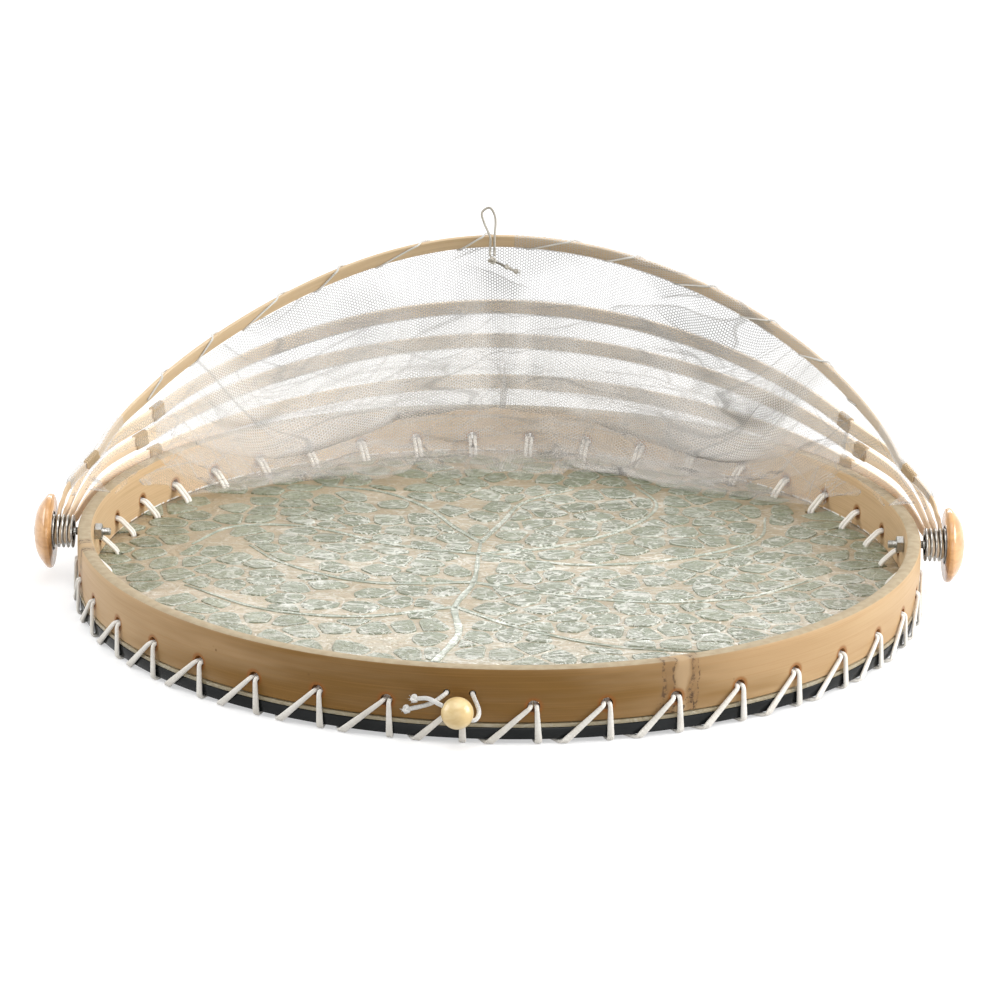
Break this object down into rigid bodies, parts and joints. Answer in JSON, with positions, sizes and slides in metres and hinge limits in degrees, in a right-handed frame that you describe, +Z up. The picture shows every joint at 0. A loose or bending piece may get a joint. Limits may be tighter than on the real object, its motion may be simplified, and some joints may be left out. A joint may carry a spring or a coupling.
{
  "type": "round serving tray with folding net cover",
  "caption": "Round lacquered serving tray with a shell inlay, a bamboo rim laced on with cord, and a folding net cover on bamboo hoops that fan on a screw at each side.",
  "frame": {"origin": "centre of the base board's flat underside", "axes": "+Z up, -Y towards the toggle bead at the front, +X to the right along the axis of the two pivot screws"},
  "size_m": [0.4452, 0.4189, 0.1475],
  "materials": {
    "black_lacquer": "gloss",
    "shell_inlay": "gloss",
    "rim_bamboo": "satin",
    "hoop_bamboo": "satin",
    "white_cord": "matte",
    "whipping_cord": "matte",
    "steel": "satin",
    "button_wood": "gloss",
    "bead_wood": "satin",
    "net": "matte"
  },
  "bodies": {
    "tray": {"base_board": "black_lacquer", "inlay_panel": "shell_inlay", "bamboo_rim": "rim_bamboo", "rim_lacing": "white_cord", "pivot_screw_right": "steel", "pivot_screw_left": "steel", "pivot_nut_right": "steel", "pivot_nut_left": "steel", "washer_right_1": "steel", "washer_right_2": "steel", "washer_right_3": "steel", "washer_right_4": "steel", "washer_right_5": "steel", "washer_left_1": "steel", "washer_left_2": "steel", "washer_left_3": "steel", "washer_left_4": "steel", "washer_left_5": "steel", "button_right": "button_wood", "button_left": "button_wood", "toggle_bead": "bead_wood", "bead_cord": "white_cord", "net_panel_4": "net"},
    "back_hoop": {"hoop_4": "hoop_bamboo", "hoop_4_whipping_right": "whipping_cord", "hoop_4_whipping_left": "whipping_cord", "net_panel_3": "net"},
    "third_hoop": {"hoop_3": "hoop_bamboo", "hoop_3_whipping_right": "whipping_cord", "hoop_3_whipping_left": "whipping_cord", "net_panel_2": "net"},
    "second_hoop": {"hoop_2": "hoop_bamboo", "hoop_2_whipping_right": "whipping_cord", "hoop_2_whipping_left": "whipping_cord", "net_panel_1": "net"},
    "front_hoop_group": {"front_hoop": "hoop_bamboo", "front_hoop_whipping_right": "whipping_cord", "front_hoop_whipping_left": "whipping_cord", "front_hoop_stitching": "white_cord", "latch_loop": "white_cord", "latch_knot": "white_cord"}
  },
  "joints": [
    {"name": "back_hoop_fold", "type": "hinge", "parent": "tray", "child": "back_hoop", "pos_m": [0, 0, 0.023], "axis": [1, 0, 0], "range_deg": [0, 39.1], "deforming": ["net_panel_4"]},
    {"name": "third_hoop_fold", "type": "hinge", "parent": "back_hoop", "child": "third_hoop", "pos_m": [0, 0, 0.023], "axis": [1, 0, 0], "range_deg": [0, 37.2], "deforming": ["net_panel_3"]},
    {"name": "second_hoop_fold", "type": "hinge", "parent": "third_hoop", "child": "second_hoop", "pos_m": [0, 0, 0.023], "axis": [1, 0, 0], "range_deg": [0, 38.1], "deforming": ["net_panel_2"]},
    {"name": "front_hoop_fold", "type": "hinge", "parent": "second_hoop", "child": "front_hoop_group", "pos_m": [0, 0, 0.023], "axis": [1, 0, 0], "range_deg": [0, 28.4], "deforming": ["net_panel_1"]}
  ]
}
